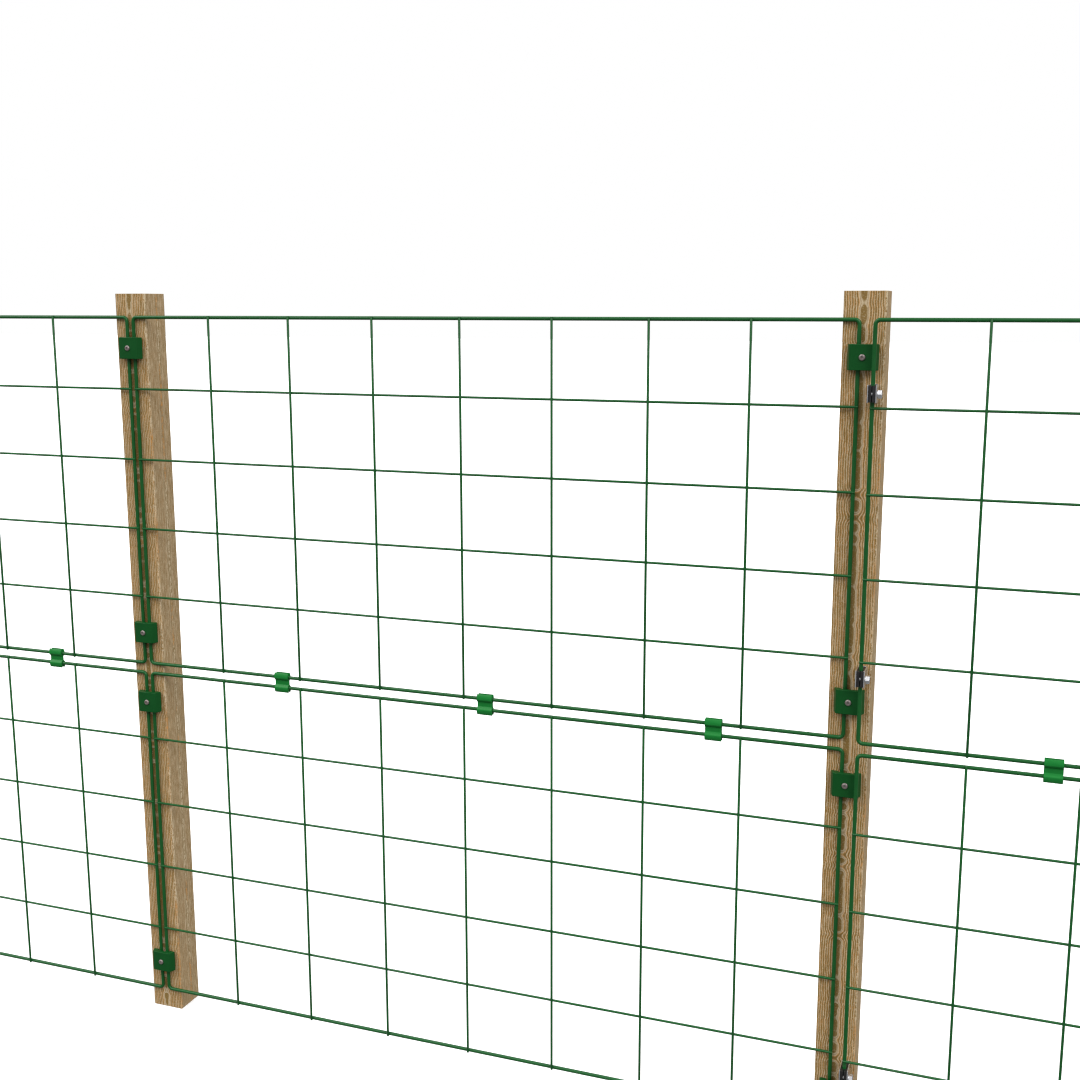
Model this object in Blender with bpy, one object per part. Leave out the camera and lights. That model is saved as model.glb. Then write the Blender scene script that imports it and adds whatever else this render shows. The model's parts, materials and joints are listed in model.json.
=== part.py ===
"""Run of welded-wire livestock panels on timber posts, with a hinged panel gate.

Two fixed bays and one gate bay. Every bay is two panels high, and three snap clips tie each upper
panel to the one below it. Cast clamps hold the fixed panels to the posts. The gate leaf turns on
three nylon bushes held in steel brackets, and a sliding pin latches its free end.

The origin is the centre of the hinge post's foot. +X runs along the fence towards the latch post,
-Y is the side that the gate opens to, and +Z is up. All sizes are in metres.
"""
import math

import bmesh
import bpy
from mathutils import Matrix, Vector

GAP = 0.0003                    # air left between two pieces that rest on each other

# Welded panel: a bent round frame rod with thinner wires welded on its front.
COLUMNS = 8
ROWS = 5
CELL_W = 0.1875                 # from one upright wire to the next
CELL_H = 0.150                  # from one level wire to the next
ROD_R = 0.00365                 # frame rod, with its coating
WIRE_R = 0.0024
CORNER_R = 0.0085               # bend of the frame rod's centre line
LEVEL_AHEAD = 0.0023            # level wires' axis in front of the frame rod's axis
UPRIGHT_AHEAD = 0.0046          # upright wires' axis in front of the frame rod's axis
RAIL_GAP = 0.0225               # lower panel's top rail to upper panel's bottom rail
ROD_SIDES = 8
WIRE_SIDES = 6
CORNER_STEPS = 3

# Posts
POST_W = 0.074
POST_D = 0.066
POST_H = 1.620
POST_BEVEL = 0.0012
TOP_MARGIN = 0.049              # post top above the top rail
ROD_FROM_POST_AXIS = 0.0080     # frame uprights, either side of the middle of a post

# Clamp block, cast as a shallow channel over the frame rods
CLAMP_FRONT_W = 0.0378
CLAMP_SHOULDER_W = 0.0448
CLAMP_BASE_W = 0.0546
CLAMP_H = 0.045
CLAMP_DEPTH = 0.0172
CLAMP_SHOULDER = 0.0160         # depth at the shoulders
CLAMP_LIFT = 0.0027             # the clamp's rim stands this far off the post
CLAMP_ROOM_W = 0.0280           # channel that the frame rods lie in
CLAMP_ROOM_DEPTH = 0.00795
CLAMP_BELOW_TOP = 0.0640        # clamp centre below a panel's top rail
CLAMP_ABOVE_BOTTOM = 0.0705     # clamp centre above a panel's bottom rail

# Wood screw with a socket head
SCREW_R = 0.0030
SCREW_LENGTH = 0.040
SCREW_HEAD_R = 0.00575
SCREW_HEAD_H = 0.0030
SOCKET_R = 0.0027
SOCKET_DEPTH = 0.0020
SCREW_SIDES = 8
HOLE_SLACK = 0.0004             # hole radius over shank radius

# Snap clip between two rails
CLIP_W = 0.0320
CLIP_H = 0.0420
CLIP_LOBE = 0.00725             # half depth beside each rail
CLIP_WAIST = 0.00225            # half depth midway between the rails
CLIP_LIP = 0.00425              # half depth at the mouths
CLIP_SLACK = 0.00035
CLIP_MOUTH = 0.0029             # half width of each mouth
CLIP_CELLS = (1.76, 4.24, 6.72) # clip places, in cells from the panel's left upright
CLIP_OUTER_STEPS = 14
CLIP_SEAT_STEPS = 8

# Hinge: U bracket, slotted bush and cross bolt. The axis is the leaf's upright rod.
HINGE_X = 0.0213                # leaf rod from the middle of the hinge post
HINGE_STANDOFF = 0.0265         # leaf rod in front of the post's face
BUSH_W = 0.0122
BUSH_H = 0.0285
BRACKET_H = 0.0305
BRACKET_T = 0.0018
BRACKET_DEPTH = 0.0395          # post face to the cheeks' front edges
BUSH_SLOT = 0.0014
BOLT_R = 0.00325
BOLT_AHEAD = 0.0085             # bolt axis in front of the leaf rod's axis
BOLT_HEAD_FLATS = 0.0140
BOLT_HEAD_T = 0.0063
COLLAR_R = 0.0063
COLLAR_T = 0.0022
UPPER_HINGE_DROP = 0.1252       # hinge centres below their leaf's top rail
LOWER_HINGE_DROP = 0.6285

# Latch: the same bracket, a buffer behind the leaf's end rod and a sliding pin before it
LATCH_DROP = 0.3750             # below the upper leaf's top rail
KNOB_R = 0.0095
KNOB_T = 0.0075
PIN_NECK = 0.0060
BUFFER_REACH = 0.0015           # how far the buffer wraps past the back of the rod

# Derived places
PANEL_W = COLUMNS * CELL_W
PANEL_H = ROWS * CELL_H
POST_FACE_Y = -POST_D / 2
FIXED_ROD_Y = POST_FACE_Y - GAP - ROD_R
GATE_ROD_Y = POST_FACE_Y - HINGE_STANDOFF
TOP_RAIL_Z = POST_H - TOP_MARGIN
UPPER_Z = TOP_RAIL_Z - PANEL_H
LOWER_Z = UPPER_Z - RAIL_GAP - PANEL_H
FIXED_BAY = PANEL_W + 2 * ROD_FROM_POST_AXIS
LINE_POST_X = -FIXED_BAY
END_POST_X = -2 * FIXED_BAY
LATCH_POST_X = HINGE_X + PANEL_W + HINGE_X
LATCH_ROD_X = HINGE_X + PANEL_W
HINGE_Z = (
    TOP_RAIL_Z - UPPER_HINGE_DROP,
    TOP_RAIL_Z - LOWER_HINGE_DROP,
    LOWER_Z + PANEL_H - LOWER_HINGE_DROP,
)
LATCH_Z = TOP_RAIL_Z - LATCH_DROP
CLAMP_Z = (
    TOP_RAIL_Z - CLAMP_BELOW_TOP,
    UPPER_Z + CLAMP_ABOVE_BOTTOM,
    LOWER_Z + PANEL_H - CLAMP_BELOW_TOP,
    LOWER_Z + CLAMP_ABOVE_BOTTOM,
)
SEAT_R = ROD_R + CLIP_SLACK
CHEEK_INNER = BUSH_W / 2 + GAP
CHEEK_OUTER = CHEEK_INNER + BRACKET_T

COATED_GREEN = ("green powder coat", (0.016, 0.085, 0.026), 0.42, 0.0)
CLIP_GREEN = ("green nylon", (0.025, 0.200, 0.055), 0.38, 0.0)
BLACK_NYLON = ("black nylon", (0.012, 0.012, 0.013), 0.45, 0.0)
CHROME = ("bright zinc", (0.72, 0.72, 0.74), 0.18, 1.0)
SCREW_STEEL = ("screw steel", (0.34, 0.33, 0.33), 0.35, 1.0)
PALE_WOOD = ("sawn timber", (0.38, 0.27, 0.14), 0.75, 0.0)


# ------------------------------------------------------------------ general tools

def clear_scene():
    for item in list(bpy.data.objects):
        bpy.data.objects.remove(item, do_unlink=True)


def material(finish):
    name, colour, roughness, metallic = finish
    found = bpy.data.materials.get(name)
    if found:
        return found
    made = bpy.data.materials.new(name)
    made.use_nodes = True
    shader = made.node_tree.nodes["Principled BSDF"]
    shader.inputs["Base Color"].default_value = (*colour, 1.0)
    shader.inputs["Roughness"].default_value = roughness
    shader.inputs["Metallic"].default_value = metallic
    made.diffuse_color = (*colour, 1.0)
    return made


def to_mesh(bm, name):
    bmesh.ops.recalc_face_normals(bm, faces=bm.faces)
    mesh = bpy.data.meshes.new(name)
    bm.to_mesh(mesh)
    bm.free()
    return mesh


def place(name, mesh, finish, location, parent=None, smooth_below=None):
    """Put one named piece in the scene, with its own mesh and its finish."""
    piece = bpy.data.objects.new(name, mesh.copy())
    bpy.context.scene.collection.objects.link(piece)
    piece.data.name = name
    piece.data.materials.clear()
    piece.data.materials.append(material(finish))
    piece.location = location
    if smooth_below is not None:
        piece.data.shade_smooth()
        piece.data.set_sharp_from_angle(angle=math.radians(smooth_below))
    if parent is not None:
        piece.parent = parent
        piece.matrix_parent_inverse = parent.matrix_basis.inverted()
    return piece


def joint_empty(name, location):
    empty = bpy.data.objects.new(name, None)
    empty.location = location
    bpy.context.scene.collection.objects.link(empty)
    return empty


def combine(base, tools, operation):
    """Join or cut a mesh with others by exact Booleans, and return the finished mesh."""
    helpers = []
    body = bpy.data.objects.new("body", base)
    bpy.context.scene.collection.objects.link(body)
    for tool in tools:
        cutter = bpy.data.objects.new("cutter", tool)
        cutter.display_type = "WIRE"
        cutter.hide_render = True
        bpy.context.scene.collection.objects.link(cutter)
        helpers.append(cutter)
        modifier = body.modifiers.new(operation.lower(), "BOOLEAN")
        modifier.operation = operation
        modifier.solver = "EXACT"
        modifier.object = cutter
    graph = bpy.context.evaluated_depsgraph_get()
    result = bpy.data.meshes.new_from_object(body.evaluated_get(graph))
    for item in [body, *helpers]:
        bpy.data.objects.remove(item, do_unlink=True)
    return result


# ------------------------------------------------------------------ basic solids

def prism(outline, length, axis):
    """Closed polygon in the plane across `axis`, extruded to a solid centred on that plane.

    The outline's two numbers lie along (Y, Z) for axis X, (X, Z) for axis Y and (X, Y) for axis Z.
    """
    bm = bmesh.new()
    order = {"X": (1, 2, 0), "Y": (0, 2, 1), "Z": (0, 1, 2)}[axis]
    ring = []
    for pair in outline:
        point = [0.0, 0.0, 0.0]
        point[order[0]] = pair[0]
        point[order[1]] = pair[1]
        point[order[2]] = -length / 2
        ring.append(bm.verts.new(point))
    start = bm.faces.new(ring)
    grown = bmesh.ops.extrude_face_region(bm, geom=[start])
    step = Vector((0.0, 0.0, 0.0))
    step[order[2]] = length
    moved = [item for item in grown["geom"] if isinstance(item, bmesh.types.BMVert)]
    bmesh.ops.translate(bm, verts=moved, vec=step)
    return bm


def circle(radius, sides, centre=(0.0, 0.0)):
    """Polygon inscribed in a circle, with a flat side on every axis."""
    points = []
    for index in range(sides):
        angle = 2 * math.pi * (index + 0.5) / sides
        points.append((centre[0] + radius * math.cos(angle), centre[1] + radius * math.sin(angle)))
    return points


def lathe(profile, sides):
    """Turn (radius, height) pairs about Z; the profile starts and ends on the axis."""
    bm = bmesh.new()
    verts = [bm.verts.new((radius, 0.0, height)) for radius, height in profile]
    edges = [bm.edges.new(pair) for pair in zip(verts, verts[1:])]
    bmesh.ops.rotate(bm, verts=verts, cent=(0, 0, 0), matrix=Matrix.Rotation(math.pi / sides, 3, "Z"))
    bmesh.ops.spin(
        bm, geom=verts + edges, cent=(0, 0, 0), axis=(0, 0, 1),
        angle=2 * math.pi, steps=sides, use_merge=True,
    )
    bmesh.ops.remove_doubles(bm, verts=bm.verts, dist=0.00001)
    return bm


def section(point, across, normal, radius, sides, stretch):
    """One ring of a swept bar: `across` is stretched to keep a mitred corner at full thickness."""
    ring = []
    for index in range(sides):
        angle = 2 * math.pi * (index + 0.5) / sides
        side = across * (radius * stretch * math.cos(angle))
        ring.append(point + side + normal * (radius * math.sin(angle)))
    return ring


def sweep(bm, path, radius, sides, normal, closed=False):
    """Round bar along a flat path; `normal` is square to the plane of the path."""
    rings = []
    count = len(path)
    for index, point in enumerate(path):
        ahead = path[(index + 1) % count] if closed or index < count - 1 else None
        behind = path[index - 1] if closed or index > 0 else None
        incoming = (point - behind).normalized() if behind is not None else None
        outgoing = (ahead - point).normalized() if ahead is not None else None
        incoming = incoming or outgoing
        outgoing = outgoing or incoming
        tangent = (incoming + outgoing).normalized()
        across = tangent.cross(normal).normalized()
        stretch = 1.0 / max(tangent.dot(outgoing), 0.5)
        corners = section(point, across, normal, radius, sides, stretch)
        rings.append([bm.verts.new(corner) for corner in corners])
    spans = count if closed else count - 1
    for index in range(spans):
        here = rings[index]
        there = rings[(index + 1) % count]
        for side in range(sides):
            after = (side + 1) % sides
            bm.faces.new((here[side], here[after], there[after], there[side]))
    if not closed:
        bm.faces.new(rings[0])
        bm.faces.new(rings[-1])


# ------------------------------------------------------------------ panel

def frame_path():
    """Centre line of the frame rod: a rectangle with bent corners, in the XZ plane."""
    path = []
    corners = (
        (PANEL_W - CORNER_R, CORNER_R, -90.0),
        (PANEL_W - CORNER_R, PANEL_H - CORNER_R, 0.0),
        (CORNER_R, PANEL_H - CORNER_R, 90.0),
        (CORNER_R, CORNER_R, 180.0),
    )
    for centre_x, centre_z, start in corners:
        for step in range(CORNER_STEPS + 1):
            angle = math.radians(start + 90.0 * step / CORNER_STEPS)
            path.append(Vector((
                centre_x + CORNER_R * math.cos(angle), 0.0, centre_z + CORNER_R * math.sin(angle),
            )))
    return path


def panel_mesh():
    """Welded panel, with its origin on the left upright at the height of the bottom rail."""
    frame = bmesh.new()
    sweep(frame, frame_path(), ROD_R, ROD_SIDES, Vector((0.0, 1.0, 0.0)), closed=True)
    level = bmesh.new()
    for row in range(1, ROWS):
        height = row * CELL_H
        ends = [
            Vector((-ROD_R, -LEVEL_AHEAD, height)),
            Vector((PANEL_W + ROD_R, -LEVEL_AHEAD, height)),
        ]
        sweep(level, ends, WIRE_R, WIRE_SIDES, Vector((0.0, 1.0, 0.0)))
    upright = bmesh.new()
    for column in range(1, COLUMNS):
        x = column * CELL_W
        ends = [
            Vector((x, -UPRIGHT_AHEAD, -ROD_R)),
            Vector((x, -UPRIGHT_AHEAD, PANEL_H + ROD_R)),
        ]
        sweep(upright, ends, WIRE_R, WIRE_SIDES, Vector((1.0, 0.0, 0.0)))
    base = to_mesh(frame, "frame")
    wires = [to_mesh(level, "level"), to_mesh(upright, "upright")]
    return combine(base, wires, "UNION")


def add_panels():
    mesh = panel_mesh()
    swing = joint_empty("gate_axis", (HINGE_X, GATE_ROD_Y, 0.0))
    levels = (("upper", UPPER_Z), ("lower", LOWER_Z))
    bays = (("left_bay", END_POST_X), ("mid_bay", LINE_POST_X))
    for level, z in levels:
        for bay, post_x in bays:
            place(
                f"{bay}_{level}_panel", mesh, COATED_GREEN,
                (post_x + ROD_FROM_POST_AXIS, FIXED_ROD_Y, z), smooth_below=50,
            )
        place(
            f"gate_{level}_leaf", mesh, COATED_GREEN,
            (HINGE_X, GATE_ROD_Y, z), parent=swing, smooth_below=50,
        )
    return swing


# ------------------------------------------------------------------ snap clips

def clip_half_depth(z):
    """Outer half depth: fullest beside the rails, a flat waist between them, drawn in at the mouths."""
    beyond = (abs(z) - RAIL_GAP / 2) / (CLIP_H / 2 - RAIL_GAP / 2)
    if beyond > 0:
        return CLIP_LOBE + (CLIP_LIP - CLIP_LOBE) * beyond ** 2
    inward = 0.75 * (1 + math.cos(2 * math.pi * z / RAIL_GAP))
    return CLIP_LOBE + (CLIP_WAIST - CLIP_LOBE) * min(1.0, inward)


def clip_outline():
    """Closed outline in (Y, Z): two rail seats back to back, each open at its mouth."""
    heights = [CLIP_H * (step / CLIP_OUTER_STEPS - 0.5) for step in range(CLIP_OUTER_STEPS + 1)]
    front = [(-clip_half_depth(z), z) for z in heights]
    back = [(clip_half_depth(z), z) for z in reversed(heights)]
    mouth_angle = math.asin(CLIP_MOUTH / SEAT_R)
    sweep_angle = 2 * (math.pi - mouth_angle)
    top_seat = []
    for step in range(CLIP_SEAT_STEPS + 1):
        angle = mouth_angle + sweep_angle * step / CLIP_SEAT_STEPS
        top_seat.append((-SEAT_R * math.sin(angle), RAIL_GAP / 2 + SEAT_R * math.cos(angle)))
    top_mouth = [(-CLIP_MOUTH, CLIP_H / 2), *top_seat, (CLIP_MOUTH, CLIP_H / 2)]
    bottom_mouth = [(-y, -z) for y, z in top_mouth]
    return front + top_mouth + back + bottom_mouth


def add_clips(swing):
    mesh = to_mesh(prism(clip_outline(), CLIP_W, "X"), "clip")
    height = UPPER_Z - RAIL_GAP / 2
    runs = (
        ("left_bay", END_POST_X + ROD_FROM_POST_AXIS, FIXED_ROD_Y, None),
        ("mid_bay", LINE_POST_X + ROD_FROM_POST_AXIS, FIXED_ROD_Y, None),
        ("gate", HINGE_X, GATE_ROD_Y, swing),
    )
    for name, left, y, parent in runs:
        for number, cells in enumerate(CLIP_CELLS, start=1):
            where = (left + cells * CELL_W, y, height)
            place(f"{name}_clip_{number}", mesh, CLIP_GREEN, where, parent, smooth_below=40)


# ------------------------------------------------------------------ clamps and screws

def clamp_mesh():
    """Clamp channel with a screw hole. Its origin is on the post's face."""
    outline = [
        (-CLAMP_BASE_W / 2, -CLAMP_LIFT),
        (-CLAMP_SHOULDER_W / 2, -CLAMP_SHOULDER),
        (-CLAMP_FRONT_W / 2, -CLAMP_DEPTH),
        (CLAMP_FRONT_W / 2, -CLAMP_DEPTH),
        (CLAMP_SHOULDER_W / 2, -CLAMP_SHOULDER),
        (CLAMP_BASE_W / 2, -CLAMP_LIFT),
        (CLAMP_ROOM_W / 2, -CLAMP_LIFT),
        (CLAMP_ROOM_W / 2, -CLAMP_ROOM_DEPTH),
        (-CLAMP_ROOM_W / 2, -CLAMP_ROOM_DEPTH),
        (-CLAMP_ROOM_W / 2, -CLAMP_LIFT),
    ]
    plate = to_mesh(prism(outline, CLAMP_H, "Z"), "plate")
    hole = prism(circle(SCREW_R + HOLE_SLACK, SCREW_SIDES), 3 * CLAMP_DEPTH, "Y")
    return combine(plate, [to_mesh(hole, "hole")], "DIFFERENCE")


def screw_mesh():
    """Wood screw along +Y, with its origin under the head."""
    bm = lathe(
        [
            (0.0, SCREW_LENGTH),
            (SCREW_R, SCREW_LENGTH - 2 * SCREW_R),
            (SCREW_R, 0.0),
            (SCREW_HEAD_R, 0.0),
            (SCREW_HEAD_R, -0.6 * SCREW_HEAD_H),
            (0.75 * SCREW_HEAD_R, -SCREW_HEAD_H),
            (SOCKET_R, -SCREW_HEAD_H),
            (SOCKET_R, SOCKET_DEPTH - SCREW_HEAD_H),
            (0.0, SOCKET_DEPTH - SCREW_HEAD_H),
        ],
        SCREW_SIDES,
    )
    bmesh.ops.rotate(bm, verts=bm.verts, cent=(0, 0, 0), matrix=Matrix.Rotation(-math.pi / 2, 3, "X"))
    return to_mesh(bm, "screw")


def add_clamps():
    clamp = clamp_mesh()
    screw = screw_mesh()
    posts = (("end_post", END_POST_X), ("line_post", LINE_POST_X), ("hinge_post", 0.0))
    for post, x in posts:
        for number, z in enumerate(CLAMP_Z, start=1):
            place(f"{post}_clamp_{number}", clamp, COATED_GREEN, (x, POST_FACE_Y, z))
            seat_y = POST_FACE_Y - CLAMP_DEPTH - GAP
            place(f"{post}_clamp_screw_{number}", screw, SCREW_STEEL, (x, seat_y, z), smooth_below=50)


# ------------------------------------------------------------------ posts

def post_mesh(holes):
    """Square-sawn post standing on Z = 0, with blind screw holes at (x, z) in its front face."""
    bm = bmesh.new()
    bmesh.ops.create_cube(bm, size=1.0)
    bmesh.ops.scale(bm, verts=bm.verts, vec=(POST_W, POST_D, POST_H))
    bmesh.ops.translate(bm, verts=bm.verts, vec=(0.0, 0.0, POST_H / 2))
    edges = [edge for edge in bm.edges if max(vert.co.z for vert in edge.verts) > POST_H / 2]
    bmesh.ops.bevel(bm, geom=edges, offset=POST_BEVEL, segments=1, affect="EDGES")
    body = to_mesh(bm, "post")
    cutters = bmesh.new()
    depth = SCREW_LENGTH + GAP
    for x, z in holes:
        drill = prism(circle(SCREW_R + HOLE_SLACK, SCREW_SIDES), depth, "Y")
        bmesh.ops.translate(drill, verts=drill.verts, vec=(x, POST_FACE_Y + depth / 2 - 2 * GAP, z))
        cutters.from_mesh(to_mesh(drill, "drill"))
    return combine(body, [to_mesh(cutters, "holes")], "DIFFERENCE")


def add_posts():
    clamp_holes = [(0.0, z) for z in CLAMP_Z]
    hinge_holes = [(HINGE_X, z) for z in HINGE_Z]
    latch_holes = [(LATCH_ROD_X - LATCH_POST_X, LATCH_Z)]
    rows = (
        ("end_post", END_POST_X, clamp_holes),
        ("line_post", LINE_POST_X, clamp_holes),
        ("hinge_post", 0.0, clamp_holes + hinge_holes),
        ("latch_post", LATCH_POST_X, latch_holes),
    )
    for name, x, holes in rows:
        place(name, post_mesh(holes), PALE_WOOD, (x, 0.0, 0.0))


# ------------------------------------------------------------------ hinge and latch

def bracket_mesh(bolt_ahead):
    """U bracket on the post's face; its origin is on the leaf rod's axis at mid height."""
    back = HINGE_STANDOFF - GAP
    front = HINGE_STANDOFF - BRACKET_DEPTH
    outline = [
        (-CHEEK_OUTER, back), (-CHEEK_OUTER, front), (-CHEEK_INNER, front),
        (-CHEEK_INNER, back - BRACKET_T), (CHEEK_INNER, back - BRACKET_T),
        (CHEEK_INNER, front), (CHEEK_OUTER, front), (CHEEK_OUTER, back),
    ]
    channel = to_mesh(prism(outline, BRACKET_H, "Z"), "channel")
    cross = circle(BOLT_R + HOLE_SLACK, 12, (-bolt_ahead, 0.0))
    cross_hole = prism(cross, 4 * CHEEK_OUTER, "X")
    screw_hole = prism(circle(SCREW_R + HOLE_SLACK, SCREW_SIDES), 4 * BRACKET_T, "Y")
    bmesh.ops.translate(screw_hole, verts=screw_hole.verts, vec=(0.0, back, 0.0))
    tools = [to_mesh(cross_hole, "cross"), to_mesh(screw_hole, "fixing")]
    return combine(channel, tools, "DIFFERENCE")


def screw_pocket():
    """Room in the back of a bush or buffer for the head of the screw behind it."""
    depth = SCREW_HEAD_H + 3 * GAP
    pocket = prism(circle(SCREW_HEAD_R + 2 * HOLE_SLACK, 12), 2 * depth, "Y")
    back = HINGE_STANDOFF - 2 * GAP - BRACKET_T
    bmesh.ops.translate(pocket, verts=pocket.verts, vec=(0.0, back, 0.0))
    return to_mesh(pocket, "pocket")


def block_mesh(front):
    """Plain nylon block between the cheeks, from the bracket's web out to `front`."""
    back = HINGE_STANDOFF - 2 * GAP - BRACKET_T
    half = BUSH_W / 2
    outline = [(-half, back), (-half, front), (half, front), (half, back)]
    return to_mesh(prism(outline, BUSH_H, "Z"), "block")


def bush_mesh():
    """Slotted nylon bush that the leaf's rod turns in, drawn together by the cross bolt."""
    front = HINGE_STANDOFF - BRACKET_DEPTH
    bore = prism(circle(ROD_R + 2 * HOLE_SLACK, 16), 2 * BUSH_H, "Z")
    half_slot = BUSH_SLOT / 2
    opening = [(-half_slot, 0.0), (-half_slot, 2 * front), (half_slot, 2 * front), (half_slot, 0.0)]
    slot = prism(opening, 2 * BUSH_H, "Z")
    cross = prism(circle(BOLT_R + HOLE_SLACK, 12, (-BOLT_AHEAD, 0.0)), 2 * BUSH_W, "X")
    tools = [to_mesh(bore, "bore"), to_mesh(slot, "slot"), to_mesh(cross, "cross"), screw_pocket()]
    return combine(block_mesh(front), tools, "DIFFERENCE")


def buffer_mesh():
    """Nylon stop behind the leaf's end rod, hollowed to its round."""
    front = -BUFFER_REACH
    groove = prism(circle(ROD_R + 2 * HOLE_SLACK, 16), 2 * BUSH_H, "Z")
    return combine(block_mesh(front), [to_mesh(groove, "groove"), screw_pocket()], "DIFFERENCE")


def bolt_mesh():
    """Cross bolt along X with a hexagon head and collar at +X; its origin is at mid width."""
    shank = lathe(
        [
            (0.0, -CHEEK_OUTER),
            (BOLT_R, -CHEEK_OUTER),
            (BOLT_R, CHEEK_OUTER + GAP),
            (COLLAR_R, CHEEK_OUTER + GAP),
            (COLLAR_R, CHEEK_OUTER + GAP + COLLAR_T),
            (0.0, CHEEK_OUTER + GAP + COLLAR_T),
        ],
        12,
    )
    head = prism(circle(BOLT_HEAD_FLATS / math.sqrt(3), 6), BOLT_HEAD_T, "Z")
    lift = CHEEK_OUTER + COLLAR_T + BOLT_HEAD_T / 2
    bmesh.ops.translate(head, verts=head.verts, vec=(0.0, 0.0, lift))
    bolt = combine(to_mesh(shank, "shank"), [to_mesh(head, "head")], "UNION")
    bolt.transform(Matrix.Rotation(math.pi / 2, 4, "Y"))
    return bolt


def pin_mesh():
    """Latch pin along X with a round knob at +X; its origin is at mid width of the bracket."""
    neck = CHEEK_OUTER + PIN_NECK
    bm = lathe(
        [
            (0.0, -CHEEK_OUTER),
            (0.8 * BOLT_R, -CHEEK_OUTER),
            (BOLT_R, 0.2 * BOLT_R - CHEEK_OUTER),
            (BOLT_R, neck),
            (0.8 * KNOB_R, neck),
            (KNOB_R, neck + 0.3 * KNOB_T),
            (KNOB_R, neck + 0.7 * KNOB_T),
            (0.8 * KNOB_R, neck + KNOB_T),
            (0.0, neck + KNOB_T),
        ],
        12,
    )
    bmesh.ops.rotate(bm, verts=bm.verts, cent=(0, 0, 0), matrix=Matrix.Rotation(math.pi / 2, 3, "Y"))
    return to_mesh(bm, "pin")


def add_hinges():
    bracket = bracket_mesh(BOLT_AHEAD)
    bush = bush_mesh()
    bolt = bolt_mesh()
    screw = screw_mesh()
    seat_y = POST_FACE_Y - 2 * GAP - BRACKET_T
    for name, z in zip(("upper", "middle", "lower"), HINGE_Z):
        axis_point = (HINGE_X, GATE_ROD_Y, z)
        bolt_point = (HINGE_X, GATE_ROD_Y - BOLT_AHEAD, z)
        place(f"{name}_hinge_bracket", bracket, CHROME, axis_point, smooth_below=30)
        place(f"{name}_hinge_bush", bush, BLACK_NYLON, axis_point, smooth_below=30)
        place(f"{name}_hinge_bolt", bolt, CHROME, bolt_point, smooth_below=40)
        place(f"{name}_hinge_screw", screw, SCREW_STEEL, (HINGE_X, seat_y, z), smooth_below=50)


def add_latch():
    pin_ahead = ROD_R + BOLT_R + 2 * GAP
    seat_y = POST_FACE_Y - 2 * GAP - BRACKET_T
    rod_point = (LATCH_ROD_X, GATE_ROD_Y, LATCH_Z)
    pin_point = (LATCH_ROD_X, GATE_ROD_Y - pin_ahead, LATCH_Z)
    slide = joint_empty("pin_axis", pin_point)
    place("latch_bracket", bracket_mesh(pin_ahead), CHROME, rod_point, smooth_below=30)
    place("latch_buffer", buffer_mesh(), BLACK_NYLON, rod_point, smooth_below=30)
    place("latch_pin", pin_mesh(), CHROME, pin_point, parent=slide, smooth_below=40)
    place("latch_screw", screw_mesh(), SCREW_STEEL, (LATCH_ROD_X, seat_y, LATCH_Z), smooth_below=50)


def build():
    clear_scene()
    add_posts()
    swing = add_panels()
    add_clips(swing)
    add_clamps()
    add_hinges()
    add_latch()


build()
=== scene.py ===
"""Looks of the livestock panel gate: coated wire panels, sawn timber, nylon and plated steel.

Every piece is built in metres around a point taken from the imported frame, and rides the body that
the frame gives it.
"""
import json
import math

import bmesh
import bpy
from mathutils import Matrix, Vector

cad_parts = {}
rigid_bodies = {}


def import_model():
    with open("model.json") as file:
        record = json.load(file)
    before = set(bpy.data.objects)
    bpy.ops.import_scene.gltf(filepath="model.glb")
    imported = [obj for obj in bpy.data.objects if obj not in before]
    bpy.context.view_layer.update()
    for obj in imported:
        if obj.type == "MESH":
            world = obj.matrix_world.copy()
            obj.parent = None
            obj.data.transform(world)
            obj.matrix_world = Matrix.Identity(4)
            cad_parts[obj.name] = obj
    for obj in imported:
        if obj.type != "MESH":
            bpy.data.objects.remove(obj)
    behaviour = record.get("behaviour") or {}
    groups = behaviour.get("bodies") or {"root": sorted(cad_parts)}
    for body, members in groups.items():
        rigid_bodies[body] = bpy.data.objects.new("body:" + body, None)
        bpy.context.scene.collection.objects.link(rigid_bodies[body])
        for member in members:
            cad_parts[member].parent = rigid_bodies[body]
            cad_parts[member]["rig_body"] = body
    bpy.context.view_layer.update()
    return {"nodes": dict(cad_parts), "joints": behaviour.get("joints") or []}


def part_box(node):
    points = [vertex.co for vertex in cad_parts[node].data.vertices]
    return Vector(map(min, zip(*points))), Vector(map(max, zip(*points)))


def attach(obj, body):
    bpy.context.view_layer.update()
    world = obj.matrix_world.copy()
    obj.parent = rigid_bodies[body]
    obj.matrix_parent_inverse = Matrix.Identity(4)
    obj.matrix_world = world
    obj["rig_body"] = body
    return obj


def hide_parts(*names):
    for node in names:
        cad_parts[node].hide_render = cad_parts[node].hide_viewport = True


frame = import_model()

GAP = 0.0003                    # clearance between pieces that would otherwise touch
COLUMNS = 8
ROWS = 5
ROD_R = 0.00365
WIRE_R = 0.0024
CORNER_R = 0.0085
LEVEL_AHEAD = 0.0023            # level wires' axis in front of the frame rod's axis
UPRIGHT_AHEAD = 0.0046          # upright wires' axis in front of the frame rod's axis
WELD_R = 0.0024
ROD_SIDES = 28
WIRE_SIDES = 18
BEND_STEPS = 12                 # rings in a quarter bend of the frame rod
WIRE_END = ((0.0, 0.62), (0.0003, 0.86), (0.0009, 1.0))     # setback and share of the radius

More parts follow.
